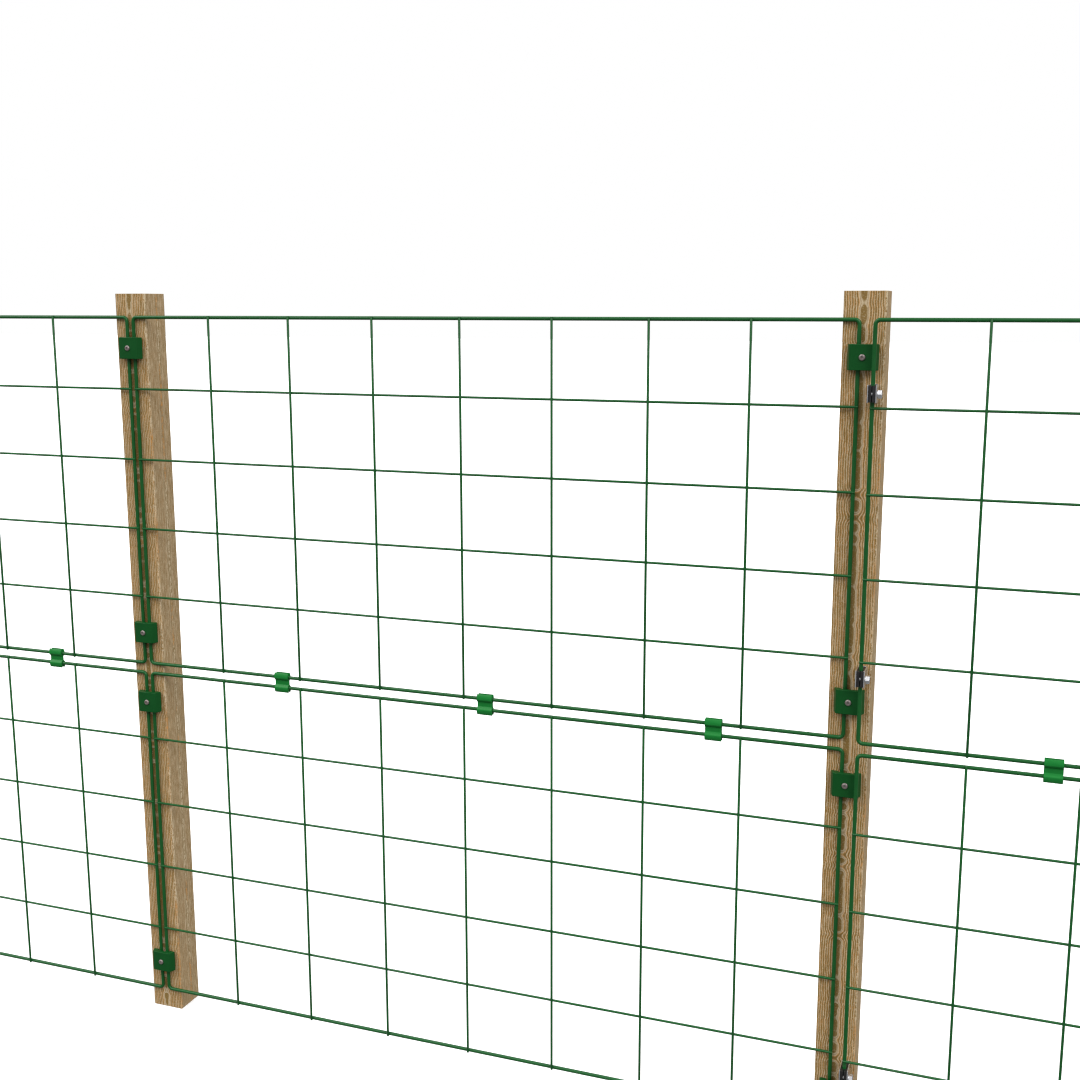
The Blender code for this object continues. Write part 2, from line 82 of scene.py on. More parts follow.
RAIL_GAP = 0.0225               # between the axes of the two rails that a clip joins
CLIP_LOBE = 0.00725             # half depth beside the rails
CLIP_WAIST = 0.00225            # between them
CLIP_LIP = 0.00425              # and at the mouths
CLIP_SLACK = 0.00035            # round the rail in its seat
CLIP_MOUTH = 0.0029             # half the width of a mouth
CLIP_STEPS = 56

CLAMP_FRONT_W = 0.0378
CLAMP_SHOULDER_W = 0.0448
CLAMP_SHOULDER = 0.0160         # depth at the shoulders
CLAMP_LIFT = 0.0027             # the clamp's rim stands this far off the post
CLAMP_ROOM_W = 0.0280           # the channel that the frame rods lie in
CLAMP_ROOM_DEPTH = 0.00795

SCREW_R = 0.0030
SCREW_HEAD_R = 0.00575
SCREW_HEAD_H = 0.0030
SCREW_DOME_R = 0.0022           # how far in and how far down the head's dome runs
SCREW_DOME_DROP = 0.0026
SOCKET_FLATS = 0.0042
SOCKET_DEPTH = 0.0018

BRACKET_T = 0.0018
INNER_BEND = 0.4 * BRACKET_T
OUTER_BEND = 1.4 * BRACKET_T
BUSH_SLOT = 0.0014
POCKET_DEPTH = 0.0050           # in a bush's back, for the screw head behind it
BOLT_R = 0.00325
BOLT_EDGE = 0.0004              # chamfer on the shank's end
BOLT_HEAD_FLATS = 0.0140
BOLT_HEAD_T = 0.0063
COLLAR_R = 0.0063
COLLAR_T = 0.0022
COLLAR_EDGE = 0.0003
PIN_NECK = 0.0060               # bare pin between the bracket and the knob
PIN_EDGE = 0.0008
KNOB_R = 0.0092
KNOB_T = 0.0075                 # along the pin
KNOB_ROUND = 0.22               # share of the knob's radius taken by its rounded rim

FILL_LOW = 0.26                 # even light from below
FILL_HIGH = 0.60                # and from the sky
REFLECTED_LOW = 0.25            # what glossy pieces see below and at eye level
REFLECTED_HIGH = 1.00           # and overhead

CAMERA_AT = (0.2802, -2.3852, 1.5927)
CAMERA_TILT = 79.996            # degrees from straight down
CAMERA_TURN = 19.951            # degrees to the left of +Y
CAMERA_LENS = 44.07             # in mm
CAMERA_SHIFT = -0.01065         # share of the picture's width

ROUND = 40                      # sides of a small round piece
EDGE_ANGLE = 35.0               # edges sharper than this stay sharp, in degrees
THROUGH = 0.1                   # length of a cutter that goes right through a piece


def node_centre(node):
    """Middle of a CAD node's box at rest."""
    low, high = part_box(node)
    return (low + high) / 2


def joint(name):
    """The frame's own entry for a joint."""
    return next(entry for entry in frame["joints"] if entry["name"] == name)


HINGE_AXIS = Vector(joint("gate_swing")["pos_m"])
POST_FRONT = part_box("hinge_post")[0].y
FIXED_ROD_Y = POST_FRONT - GAP - ROD_R
PANEL_LOW, PANEL_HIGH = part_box("mid_bay_upper_panel")
PANEL_W = PANEL_HIGH.x - PANEL_LOW.x - 2 * ROD_R
PANEL_H = PANEL_HIGH.z - PANEL_LOW.z - 2 * ROD_R
CELL_W = PANEL_W / COLUMNS
CELL_H = PANEL_H / ROWS


# ------------------------------------------------------------------ node networks

def srgb(red, green, blue):
    """Linear colour from 0-255 screen values."""
    linear = []
    for channel in (red, green, blue):
        value = channel / 255
        linear.append(value / 12.92 if value <= 0.04045 else ((value + 0.055) / 1.055) ** 2.4)
    return (*linear, 1.0)


class Network:
    """Short calls for building one material's nodes."""

    def __init__(self, name):
        self.material = bpy.data.materials.new(name)
        self.material.use_nodes = True
        self.tree = self.material.node_tree
        self.shader = self.tree.nodes["Principled BSDF"]

    def link(self, value, socket):
        """Connect another node's output, or set a plain value; None leaves the socket alone."""
        if isinstance(value, bpy.types.NodeSocket):
            self.tree.links.new(value, socket)
        elif value is not None:
            socket.default_value = value

    def add(self, kind, **settings):
        made = self.tree.nodes.new(kind)
        for key, value in settings.items():
            setattr(made, key, value)
        return made

    def set(self, name, value):
        self.link(value, self.shader.inputs[name])

    def place(self):
        """Position on the piece, in metres from its own origin."""
        return self.add("ShaderNodeTexCoord").outputs["Object"]

    def split(self, vector):
        made = self.add("ShaderNodeSeparateXYZ")
        self.link(vector, made.inputs[0])
        return made.outputs[0], made.outputs[1], made.outputs[2]

    def join(self, x, y, z):
        made = self.add("ShaderNodeCombineXYZ")
        for value, socket in zip((x, y, z), made.inputs):
            self.link(value, socket)
        return made.outputs[0]

    def math(self, operation, first, second=None, third=None):
        made = self.add("ShaderNodeMath", operation=operation)
        for value, socket in zip((first, second, third), made.inputs):
            self.link(value, socket)
        return made.outputs[0]

    def stretch(self, vector, scale):
        made = self.add("ShaderNodeVectorMath", operation="MULTIPLY")
        self.link(vector, made.inputs[0])
        made.inputs[1].default_value = scale
        return made.outputs[0]

    def noise(self, vector, scale=1.0, detail=2.0, roughness=0.5):
        made = self.add("ShaderNodeTexNoise")
        self.link(vector, made.inputs["Vector"])
        made.inputs["Scale"].default_value = scale
        made.inputs["Detail"].default_value = detail
        made.inputs["Roughness"].default_value = roughness
        return made.outputs["Fac"]

    def swing(self, noise, amount):
        """Noise centred on zero, `amount` either way."""
        return self.math("MULTIPLY_ADD", noise, 2 * amount, -amount)

    def fade(self, value, start, end, low=0.0, high=1.0):
        """Smooth step: low up to start, high from end on."""
        made = self.add("ShaderNodeMapRange", interpolation_type="SMOOTHSTEP")
        for entry, socket in zip((value, start, end, low, high), made.inputs):
            self.link(entry, socket)
        return made.outputs[0]

    def ramp(self, value, stops):
        """Colour from a list of (position, colour) stops."""
        made = self.add("ShaderNodeValToRGB")
        self.link(value, made.inputs[0])
        band = made.color_ramp
        while len(band.elements) < len(stops):
            band.elements.new(0.5)
        for element, (position, colour) in zip(band.elements, stops):
            element.position = position
            element.color = colour
        return made.outputs[0]

    def mix(self, share, first, second):
        made = self.add("ShaderNodeMix", data_type="RGBA")
        self.link(share, made.inputs[0])
        self.link(first, made.inputs[6])
        self.link(second, made.inputs[7])
        return made.outputs[2]

    def bump(self, height, distance, strength=1.0):
        made = self.add("ShaderNodeBump")
        made.inputs["Distance"].default_value = distance
        made.inputs["Strength"].default_value = strength
        self.link(height, made.inputs["Height"])
        self.set("Normal", made.outputs[0])


# ------------------------------------------------------------------ materials

def powder_coat(name, dark, light, shine):
    """Satin green coat with a faint orange-peel skin, its colour clouded between dark and light."""
    net = Network(name)
    place = net.place()
    cloud = net.noise(place, 35.0, 3.0)
    peel = net.noise(place, 900.0, 2.0)
    colour = net.mix(cloud, dark, light)
    net.set("Base Color", colour)
    net.set("Roughness", net.fade(cloud, 0.3, 0.7, 0.30, 0.40))
    net.set("Specular IOR Level", shine)
    net.bump(peel, 0.00008, 0.6)
    return net.material


def clip_plastic():
    """Brighter green moulded plastic with a soft sheen and fine flow marks across its width."""
    net = Network("green_clip")
    place = net.place()
    flow = net.noise(net.stretch(place, (40.0, 400.0, 400.0)), 1.0, 3.0)
    colour = net.mix(flow, srgb(16, 104, 40), srgb(28, 124, 52))
    net.set("Base Color", colour)
    net.set("Roughness", net.fade(flow, 0.3, 0.7, 0.28, 0.38))
    net.set("Specular IOR Level", 0.16)
    net.bump(flow, 0.00006, 0.5)
    return net.material


def black_nylon():
    """Moulded black nylon: dull, with a fine grained skin."""
    net = Network("black_nylon")
    place = net.place()
    grain = net.noise(place, 1800.0, 2.0)
    cloud = net.noise(place, 120.0, 2.0)
    net.set("Base Color", net.mix(cloud, srgb(16, 16, 17), srgb(27, 27, 28)))
    net.set("Roughness", net.fade(cloud, 0.3, 0.7, 0.42, 0.55))
    net.bump(grain, 0.00005, 0.6)
    return net.material


def bright_zinc():
    """Bright plated steel with fine rolling lines and slightly uneven gloss."""
    net = Network("bright_zinc")
    place = net.place()
    lines = net.noise(net.stretch(place, (120.0, 120.0, 2600.0)), 1.0, 2.0)
    cloud = net.noise(place, 160.0, 3.0)
    net.set("Base Color", net.mix(cloud, srgb(206, 207, 211), srgb(232, 232, 234)))
    net.set("Metallic", 0.88)
    net.set("Roughness", net.fade(cloud, 0.3, 0.7, 0.16, 0.28))
    net.bump(lines, 0.00003, 0.35)
    return net.material


def screw_steel():
    """Dull grey plated screw, a little brown and darker in its low places."""
    net = Network("screw_steel")
    place = net.place()
    cloud = net.noise(place, 420.0, 3.0)
    net.set("Base Color", net.mix(cloud, srgb(122, 112, 109), srgb(152, 143, 140)))
    net.set("Metallic", 0.60)
    net.set("Roughness", net.fade(cloud, 0.3, 0.7, 0.30, 0.45))
    net.bump(cloud, 0.00004, 0.5)
    return net.material


OLIVE = srgb(128, 101, 50)
TAN = srgb(158, 133, 97)
PALE = srgb(206, 188, 156)
ORANGE = srgb(194, 138, 76)
BROWN = srgb(126, 95, 56)
# Mottle for the side faces only; mixed in, it comes out a little lighter than the front's bands: partly
# calmer grain, partly painted light for the sides' weaker lamp light.
DULL = srgb(138, 115, 78)
SAND = srgb(164, 141, 107)
CHALK = srgb(200, 180, 148)

BAND_WIDTH = 4.2                # of one growth band, in mm as all lengths in the timber's networks
HEART_R = 12.0                  # inside this the long figure shows, with its own colours
HEART_X = 3.0                   # the figure's middle left of the front face's middle
HEART_Y = 6.0                   # and behind the side faces' middle
TREE_HEART_Y = 75.0             # the tree's own heart, behind the post's middle
CORNER_VEIN = 5.0               # reach of the light vein along the front corner
SIDE_VEIN = 4.0
SIDE_VEIN_AT = 39.0             # the side faces' vein, behind the front face
MM = 1000.0                     # millimetres in a metre


def ring_distance(net, place, on_side, seed):
    """Distance in mm from the heart of the figure on each face, pulled about along the post."""
    x, y, z = net.split(place)
    across_front = net.math("MULTIPLY_ADD", x, MM, HEART_X)
    across_side = net.math("MULTIPLY_ADD", y, MM, -HEART_Y)
    gap = net.math("SUBTRACT", across_side, across_front)
    across = net.math("MULTIPLY_ADD", gap, on_side, across_front)
    shifted = net.math("ADD", z, seed)
    slow = net.noise(net.join(0.0, on_side, shifted), 9.0, 1.0)
    lanes = net.math("MULTIPLY", across, 0.02)
    waver = net.noise(net.join(lanes, on_side, shifted), 42.0, 2.0)
    lanes = net.math("MULTIPLY", across, 0.12)
    tremble = net.noise(net.join(lanes, on_side, shifted), 190.0, 3.0)
    lanes = net.math("MULTIPLY", across, 0.6)
    ragged = net.noise(net.join(lanes, on_side, shifted), 520.0, 2.0, 0.6)
    bent = net.math("ADD", across, net.swing(slow, 4.0))
    bent = net.math("ADD", bent, net.swing(waver, 2.4))
    bent = net.math("ADD", bent, net.swing(tremble, 1.8))
    bent = net.math("ADD", bent, net.swing(ragged, 1.3))
    depth_noise = net.noise(net.join(7.0, on_side, shifted), 24.0, 1.0)
    reach = net.fade(on_side, 0.0, 1.0, 64.0, 26.0)
    depth = net.math("MULTIPLY", net.math("SUBTRACT", depth_noise, 0.5), reach)
    square = net.math("ADD", net.math("MULTIPLY", bent, bent), net.math("MULTIPLY", depth, depth))
    return net.math("SQRT", square)


def end_distance(net, place):
    """Distance in mm from the heart of the tree, behind the post; it draws the arcs on the sawn ends."""
    x, y = net.split(place)[:2]
    aside = net.math("MULTIPLY_ADD", x, MM, HEART_X)
    behind = net.math("MULTIPLY_ADD", y, MM, -TREE_HEART_Y)
    square = net.math("ADD", net.math("MULTIPLY", aside, aside), net.math("MULTIPLY", behind, behind))
    uneven = net.swing(net.noise(place, 60.0, 2.0), 2.5)
    return net.math("ADD", net.math("SQRT", square), uneven)


def vein(net, place, away, spread):
    """How strongly a broken, knotty light vein shows; away is the distance from its middle in mm."""
    z = net.split(place)[2]
    wander = net.noise(net.join(spread, 3.0, z), 55.0, 3.0)
    offset = net.math("ABSOLUTE", net.math("ADD", away, net.swing(wander, spread)))
    edge = net.fade(offset, 0.4 * spread, spread, 1.0, 0.0)
    knots = net.noise(net.stretch(place, (360.0, 360.0, 170.0)), 1.0, 3.0, 0.7)
    return net.math("MULTIPLY", edge, net.fade(knots, 0.47, 0.56))


def veins(net, place, on_side):
    """The vein along the front corner on the +X side, and the one up the middle of the side faces."""
    low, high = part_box("hinge_post")
    half = (high - low) / 2 * MM
    x, y = net.split(place)[:2]
    from_front = net.math("MULTIPLY_ADD", x, -MM, half.x)
    from_side = net.math("MULTIPLY_ADD", y, MM, half.y)
    gap = net.math("SUBTRACT", from_side, from_front)
    corner = vein(net, place, net.math("MULTIPLY_ADD", gap, on_side, from_front), CORNER_VEIN)
    middle = vein(net, place, net.math("SUBTRACT", from_side, SIDE_VEIN_AT), SIDE_VEIN)
    return net.math("MAXIMUM", corner, net.math("MULTIPLY", middle, on_side))


def timber(name, seed):
    """Flat-sawn softwood: long figure up the middle of each face and wavy bands beside it; the side faces
    get a calmer mottle, painted a little lighter to make up for the weaker light they get.
    """
    net = Network(name)
    place = net.place()
    normal = net.add("ShaderNodeTexCoord").outputs["Normal"]
    facing = net.split(normal)
    on_side = net.math("GREATER_THAN", net.math("ABSOLUTE", facing[0]), 0.5)
    on_end = net.math("GREATER_THAN", net.math("ABSOLUTE", facing[2]), 0.5)
    along = ring_distance(net, place, on_side, seed)
    gap = net.math("SUBTRACT", end_distance(net, place), along)
    distance = net.math("MULTIPLY_ADD", gap, on_end, along)
    saw = net.math("FRACT", net.math("MULTIPLY_ADD", distance, 1.0 / BAND_WIDTH, 0.35))
    bands = net.ramp(saw, [
        (0.00, OLIVE), (0.37, OLIVE), (0.48, TAN), (0.56, PALE),
        (0.67, PALE), (0.76, ORANGE), (0.84, ORANGE), (0.95, OLIVE),
    ])
    heart = net.ramp(net.math("DIVIDE", distance, HEART_R), [
        (0.0, OLIVE), (0.44, OLIVE), (0.54, PALE), (0.66, TAN),
        (0.76, PALE), (0.88, ORANGE), (1.0, OLIVE),
    ])
    colour = net.mix(net.fade(distance, 0.75 * HEART_R, HEART_R), heart, bands)
    # Side faces: calmer mottled figure, mixed in so they come out a little lighter than the front; partly
    # grain, partly painted light making up for the weaker light on the sides.
    streak = net.noise(net.stretch(place, (300.0, 300.0, 48.0)), 1.0, 3.0, 0.65)
    mottled = net.ramp(streak, [(0.34, DULL), (0.50, SAND), (0.66, CHALK)])
    calm_side_and_painted_light = net.mix(0.68, colour, mottled)
    colour = net.mix(on_side, colour, calm_side_and_painted_light)
    fibre = net.noise(net.stretch(place, (1500.0, 1500.0, 26.0)), 1.0, 3.0, 0.6)
    fleck = net.noise(net.stretch(place, (560.0, 560.0, 420.0)), 1.0, 3.0, 0.7)
    patch = net.noise(net.stretch(place, (45.0, 45.0, 9.0)), 1.0, 2.0)
    colour = net.mix(net.math("MULTIPLY", on_end, 0.35), colour, TAN)
    colour = net.mix(net.fade(fibre, 0.35, 0.65, 0.0, 0.15), colour, BROWN)
    colour = net.mix(net.fade(patch, 0.35, 0.70, 0.0, 0.15), colour, TAN)
    colour = net.mix(net.fade(fleck, 0.55, 0.66, 0.0, 0.45), colour, PALE)
    colour = net.mix(net.fade(fleck, 0.46, 0.34, 0.0, 0.35), colour, OLIVE)
    light = net.mix(net.fade(patch, 0.50, 0.60), PALE, ORANGE)
    colour = net.mix(net.math("MULTIPLY", veins(net, place, on_side), 0.85), colour, light)
    net.set("Base Color", colour)
    net.set("Roughness", net.fade(fibre, 0.3, 0.7, 0.70, 0.86))
    net.set("Specular IOR Level", 0.25)
    height = net.math("ADD", net.math("MULTIPLY", saw, 0.5), fibre)
    net.bump(height, 0.00025, 0.6)
    return net.material


# ------------------------------------------------------------------ mesh tools

def bare(bm, name):
    """A mesh from a bmesh, with its faces pointing out."""
    bmesh.ops.recalc_face_normals(bm, faces=bm.faces)
    mesh = bpy.data.meshes.new(name)
    bm.to_mesh(mesh)
    bm.free()
    return mesh


def show(name, mesh, material, location, node, bevel=0.0, sharp=EDGE_ANGLE):
    """Put a finished piece where a CAD node is, on that node's body and in its place."""
    piece = bpy.data.objects.new(name, mesh)
    bpy.context.scene.collection.objects.link(piece)
    piece.location = location
    if not mesh.materials:
        mesh.materials.append(material)
        mesh.shade_smooth()
        mesh.set_sharp_from_angle(angle=math.radians(sharp))
    if bevel:
        soften = piece.modifiers.new("soft_edges", "BEVEL")
        soften.width = bevel
        soften.segments = 3
        soften.limit_method = "ANGLE"
        soften.angle_limit = math.radians(30)
        soften.harden_normals = True
    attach(piece, frame["nodes"][node]["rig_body"])
    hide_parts(node)
    return piece


def combine(base, tools, operation):
    """Join or cut a mesh with others by exact Booleans, and return the finished mesh."""
    body = bpy.data.objects.new("body", base)
    bpy.context.scene.collection.objects.link(body)
    helpers = []
    for tool in tools:
        cutter = bpy.data.objects.new("cutter", tool)
        bpy.context.scene.collection.objects.link(cutter)
        helpers.append(cutter)
        modifier = body.modifiers.new("cut", "BOOLEAN")
        modifier.operation = operation
        modifier.solver = "EXACT"
        modifier.object = cutter
    graph = bpy.context.evaluated_depsgraph_get()
    result = bpy.data.meshes.new_from_object(body.evaluated_get(graph))
    for item in [body, *helpers]:
        bpy.data.objects.remove(item, do_unlink=True)
    return result


def prism(outline, length, axis):
    """Closed polygon extruded along `axis`, centred on the polygon's plane."""
    bm = bmesh.new()
    order = {"X": (1, 2, 0), "Y": (0, 2, 1), "Z": (0, 1, 2)}[axis]
    ring = []
    for pair in outline:
        point = [0.0, 0.0, 0.0]
        point[order[0]] = pair[0]
        point[order[1]] = pair[1]
        point[order[2]] = -length / 2
        ring.append(bm.verts.new(point))
    grown = bmesh.ops.extrude_face_region(bm, geom=[bm.faces.new(ring)])
    step = Vector((0.0, 0.0, 0.0))
    step[order[2]] = length
    moved = [item for item in grown["geom"] if isinstance(item, bmesh.types.BMVert)]
    bmesh.ops.translate(bm, verts=moved, vec=step)
    return bm


def circle(radius, sides, centre=(0.0, 0.0)):
    """Corners of a regular polygon, its first corner half a side past zero degrees."""
    points = []
    for index in range(sides):
        angle = 2 * math.pi * (index + 0.5) / sides
        points.append((centre[0] + radius * math.cos(angle), centre[1] + radius * math.sin(angle)))
    return points


def arc(radius, start, end, steps, centre=(0.0, 0.0)):
    """Points on an arc between two angles in degrees."""
    points = []
    for step in range(steps + 1):
        angle = math.radians(start + (end - start) * step / steps)
        points.append((centre[0] + radius * math.cos(angle), centre[1] + radius * math.sin(angle)))
    return points


def lathe(profile, sides=ROUND):
    """Turn (radius, height) pairs about Z; the profile starts and ends on the axis."""
    bm = bmesh.new()
    verts = [bm.verts.new((radius, 0.0, height)) for radius, height in profile]
    edges = [bm.edges.new(pair) for pair in zip(verts, verts[1:])]
    bmesh.ops.spin(
        bm, geom=verts + edges, cent=(0, 0, 0), axis=(0, 0, 1),
        angle=2 * math.pi, steps=sides, use_merge=True,
    )
    bmesh.ops.remove_doubles(bm, verts=bm.verts, dist=0.00001)
    return bm


def turn(bm, degrees, axis):
    """Rotate the whole mesh about an axis through its origin."""
    bmesh.ops.rotate(
        bm, verts=bm.verts, cent=(0, 0, 0), matrix=Matrix.Rotation(math.radians(degrees), 3, axis),
    )
    return bm


def move(bm, x=0.0, y=0.0, z=0.0):
    """Shift the whole mesh."""
    bmesh.ops.translate(bm, verts=bm.verts, vec=(x, y, z))
    return bm


# ------------------------------------------------------------------ panels

def ring_at(bm, point, tangent, normal, radius, sides):
    """Circle of vertices round a point, square to the tangent."""
    across = tangent.cross(normal).normalized()
    ring = []
    for index in range(sides):
        angle = 2 * math.pi * index / sides
        offset = across * (radius * math.cos(angle)) + normal * (radius * math.sin(angle))
        ring.append(bm.verts.new(point + offset))
    return ring


def skin(bm, rings, closed=False):
    """Faces between rings in turn, with capped ends unless the rings close on themselves."""
    count = len(rings)
    for index in range(count if closed else count - 1):
        here = rings[index]
        there = rings[(index + 1) % count]
        for side in range(len(here)):
            after = (side + 1) % len(here)
            bm.faces.new((here[side], here[after], there[after], there[side]))
    if not closed:
        bm.faces.new(rings[0])
        bm.faces.new(rings[-1])


def frame_rod(bm):
    """The bent frame rod, one closed loop."""
    normal = Vector((0.0, 1.0, 0.0))
    corners = (
        (PANEL_W - CORNER_R, CORNER_R, -90.0),
        (PANEL_W - CORNER_R, PANEL_H - CORNER_R, 0.0),
        (CORNER_R, PANEL_H - CORNER_R, 90.0),
        (CORNER_R, CORNER_R, 180.0),
    )
    rings = []
    for x, z, start in corners:
        for step in range(BEND_STEPS + 1):
            angle = math.radians(start + 90.0 * step / BEND_STEPS)
            point = Vector((x + CORNER_R * math.cos(angle), 0.0, z + CORNER_R * math.sin(angle)))
            tangent = Vector((-math.sin(angle), 0.0, math.cos(angle)))
            rings.append(ring_at(bm, point, tangent, normal, ROD_R, ROD_SIDES))
    skin(bm, rings, closed=True)


def wire(bm, start, end, normal):
    """A straight wire whose cut ends are slightly rounded."""
    along = (end - start).normalized()
    rings = []
    for setback, share in WIRE_END:
        rings.append(ring_at(bm, start + along * setback, along, normal, WIRE_R * share, WIRE_SIDES))
    for setback, share in reversed(WIRE_END):
        rings.append(ring_at(bm, end - along * setback, along, normal, WIRE_R * share, WIRE_SIDES))
    skin(bm, rings)


def weld(bm, x, y, z, radius):
    """Low blob of squeezed metal where two rounds meet."""
    spread = Matrix.Translation((x, y, z)) @ Matrix.Diagonal((radius, 0.55 * radius, radius, 1.0))
    bmesh.ops.create_icosphere(bm, subdivisions=2, radius=1.0, matrix=spread)


def panel_mesh():
    """One welded panel, from its left upright at the height of its bottom rail."""
    bm = bmesh.new()
    frame_rod(bm)
    for row in range(1, ROWS):
        z = row * CELL_H
        ends = [Vector((-ROD_R, -LEVEL_AHEAD, z)), Vector((PANEL_W + ROD_R, -LEVEL_AHEAD, z))]
        wire(bm, *ends, Vector((0.0, 1.0, 0.0)))
        for x in (0.0, PANEL_W):
            weld(bm, x, -0.8 * ROD_R, z, WELD_R)
    for column in range(1, COLUMNS):
        x = column * CELL_W
        ends = [Vector((x, -UPRIGHT_AHEAD, -ROD_R)), Vector((x, -UPRIGHT_AHEAD, PANEL_H + ROD_R))]
        wire(bm, *ends, Vector((1.0, 0.0, 0.0)))
        for z in (0.0, PANEL_H):
            weld(bm, x, -0.85 * ROD_R, z, WELD_R)
        for row in range(1, ROWS):
            weld(bm, x, -(LEVEL_AHEAD + UPRIGHT_AHEAD) / 2, row * CELL_H, WELD_R)
    return bare(bm, "welded_panel")


def build_panels(material):
    mesh = panel_mesh()
    rods = {"left_bay": FIXED_ROD_Y, "mid_bay": FIXED_ROD_Y, "gate": HINGE_AXIS.y}
    for bay, y in rods.items():
        kind = "leaf" if bay == "gate" else "panel"
        for level in ("upper", "lower"):
            node = f"{bay}_{level}_{kind}"
            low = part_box(node)[0]
            where = (low.x + ROD_R, y, low.z + ROD_R)
            show(f"{node}_coated", mesh, material, where, node, sharp=50)


# ------------------------------------------------------------------ snap clips

def clip_half_depth(z, height):
    """Outer half depth: fullest beside the rails, a flat waist between them, drawn in at the mouths."""
    beyond = (abs(z) - RAIL_GAP / 2) / (height / 2 - RAIL_GAP / 2)
    if beyond > 0:
        return CLIP_LOBE + (CLIP_LIP - CLIP_LOBE) * beyond ** 2
    inward = 0.75 * (1 + math.cos(2 * math.pi * z / RAIL_GAP))
    return CLIP_LOBE + (CLIP_WAIST - CLIP_LOBE) * min(1.0, inward)


def clip_mesh(width, height):
    """Double clip: two rail seats back to back, each with a mouth that lets the rail snap in."""
    heights = [height * (step / CLIP_STEPS - 0.5) for step in range(CLIP_STEPS + 1)]
    front = [(-clip_half_depth(z, height), z) for z in heights]
    back = [(clip_half_depth(z, height), z) for z in reversed(heights)]
    seat_r = ROD_R + CLIP_SLACK
    mouth = math.degrees(math.asin(CLIP_MOUTH / seat_r))
    seat = arc(seat_r, 90.0 + mouth, 450.0 - mouth, 40, (0.0, RAIL_GAP / 2))
    top = [(-CLIP_MOUTH, height / 2), *seat, (CLIP_MOUTH, height / 2)]
    bottom = [(-y, -z) for y, z in top]
    return bare(prism(front + top + back + bottom, width, "X"), "snap_clip")


def build_clips(material):
    low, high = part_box("mid_bay_clip_1")
    mesh = clip_mesh(high.x - low.x, high.z - low.z)
    for bay in ("left_bay", "mid_bay", "gate"):
        for number in (1, 2, 3):
            node = f"{bay}_clip_{number}"
            show(
                f"{node}_moulded", mesh, material, node_centre(node), node,
                bevel=0.0005, sharp=30,
            )


# ------------------------------------------------------------------ clamps and screws

def clamp_mesh():
    """Cast channel clamp with sloping sides; its origin is on the post's face."""
    low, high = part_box("hinge_post_clamp_1")
    base = (high.x - low.x) / 2
    front = CLAMP_FRONT_W / 2
    shoulder = CLAMP_SHOULDER_W / 2
    depth = POST_FRONT - low.y
    room = CLAMP_ROOM_W / 2
    outline = [
        (-base, -CLAMP_LIFT), (-shoulder, -CLAMP_SHOULDER), (-front, -depth),
        (front, -depth), (shoulder, -CLAMP_SHOULDER), (base, -CLAMP_LIFT),
        (room, -CLAMP_LIFT), (room, -CLAMP_ROOM_DEPTH), (-room, -CLAMP_ROOM_DEPTH), (-room, -CLAMP_LIFT),
    ]
    return bare(prism(outline, high.z - low.z, "Z"), "clamp")


def screw_mesh(node):
    """Button-head screw along +Y with a hexagon socket; its origin is under the head."""
    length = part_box(node)[1].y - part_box(node)[0].y - SCREW_HEAD_H
    dome = []
    for x, y in arc(1.0, 0.0, 90.0, 8):
        dome.append((SCREW_HEAD_R - SCREW_DOME_R * (1 - x), SCREW_DOME_DROP * (1 - y) - SCREW_HEAD_H))
    profile = [(0.0, length), (SCREW_R, length - 2 * SCREW_R), (SCREW_R, 0.0), (SCREW_HEAD_R, 0.0)]
    profile += dome + [(0.0, -SCREW_HEAD_H)]
    head = bare(lathe(profile), "screw")
    socket = prism(circle(SOCKET_FLATS / math.sqrt(3), 6), 2 * SOCKET_DEPTH, "Z")
    move(socket, z=-SCREW_HEAD_H)
    screw = combine(head, [bare(socket, "socket")], "DIFFERENCE")
    screw.transform(Matrix.Rotation(-math.pi / 2, 4, "X"))
    return screw


def build_clamps(coat, steel):
    clamp = clamp_mesh()
    screw = screw_mesh("hinge_post_clamp_screw_1")
    for post in ("end_post", "line_post", "hinge_post"):
        for number in (1, 2, 3, 4):
            node = f"{post}_clamp_{number}"
            centre = node_centre(node)
            where = (centre.x, POST_FRONT, centre.z)
            show(f"{node}_cast", clamp, coat, where, node, bevel=0.0011)
            node = f"{post}_clamp_screw_{number}"
            where = (centre.x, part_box(node)[0].y + SCREW_HEAD_H, centre.z)
            show(f"{node}_plated", screw, steel, where, node, bevel=0.0002)


# ------------------------------------------------------------------ posts

def build_posts():
    seeds = {"end_post": 5.3, "line_post": 2.1, "hinge_post": 0.0, "latch_post": 8.7}
    for node, seed in seeds.items():
        low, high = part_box(node)
        size = high - low
        bm = bmesh.new()
        bmesh.ops.create_cube(bm, size=1.0)
        bmesh.ops.scale(bm, verts=bm.verts, vec=size)
        move(bm, z=size.z / 2)
        centre = (low + high) / 2
        show(
            f"{node}_sawn", bare(bm, node), timber(f"timber_{node}", seed), (centre.x, centre.y, low.z),
            node, bevel=0.0007,
        )


# ------------------------------------------------------------------ hinges and latch

def hardware_sizes():
    """Reach of the brackets and blocks, before and behind the leaf rod's axis, from the frame."""
    low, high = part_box("upper_hinge_bracket")
    bush_low, bush_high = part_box("upper_hinge_bush")
    bolt_low, bolt_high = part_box("upper_hinge_bolt")
    return {
        "cheek": (high.x - low.x) / 2,
        "back": high.y - HINGE_AXIS.y,
        "front": low.y - HINGE_AXIS.y,
        "height": high.z - low.z,
        "bush_half": (bush_high.x - bush_low.x) / 2,
        "bush_back": bush_high.y - HINGE_AXIS.y,
        "bush_front": bush_low.y - HINGE_AXIS.y,
        "bush_height": bush_high.z - bush_low.z,
        "bolt_ahead": HINGE_AXIS.y - (bolt_low.y + bolt_high.y) / 2,
    }


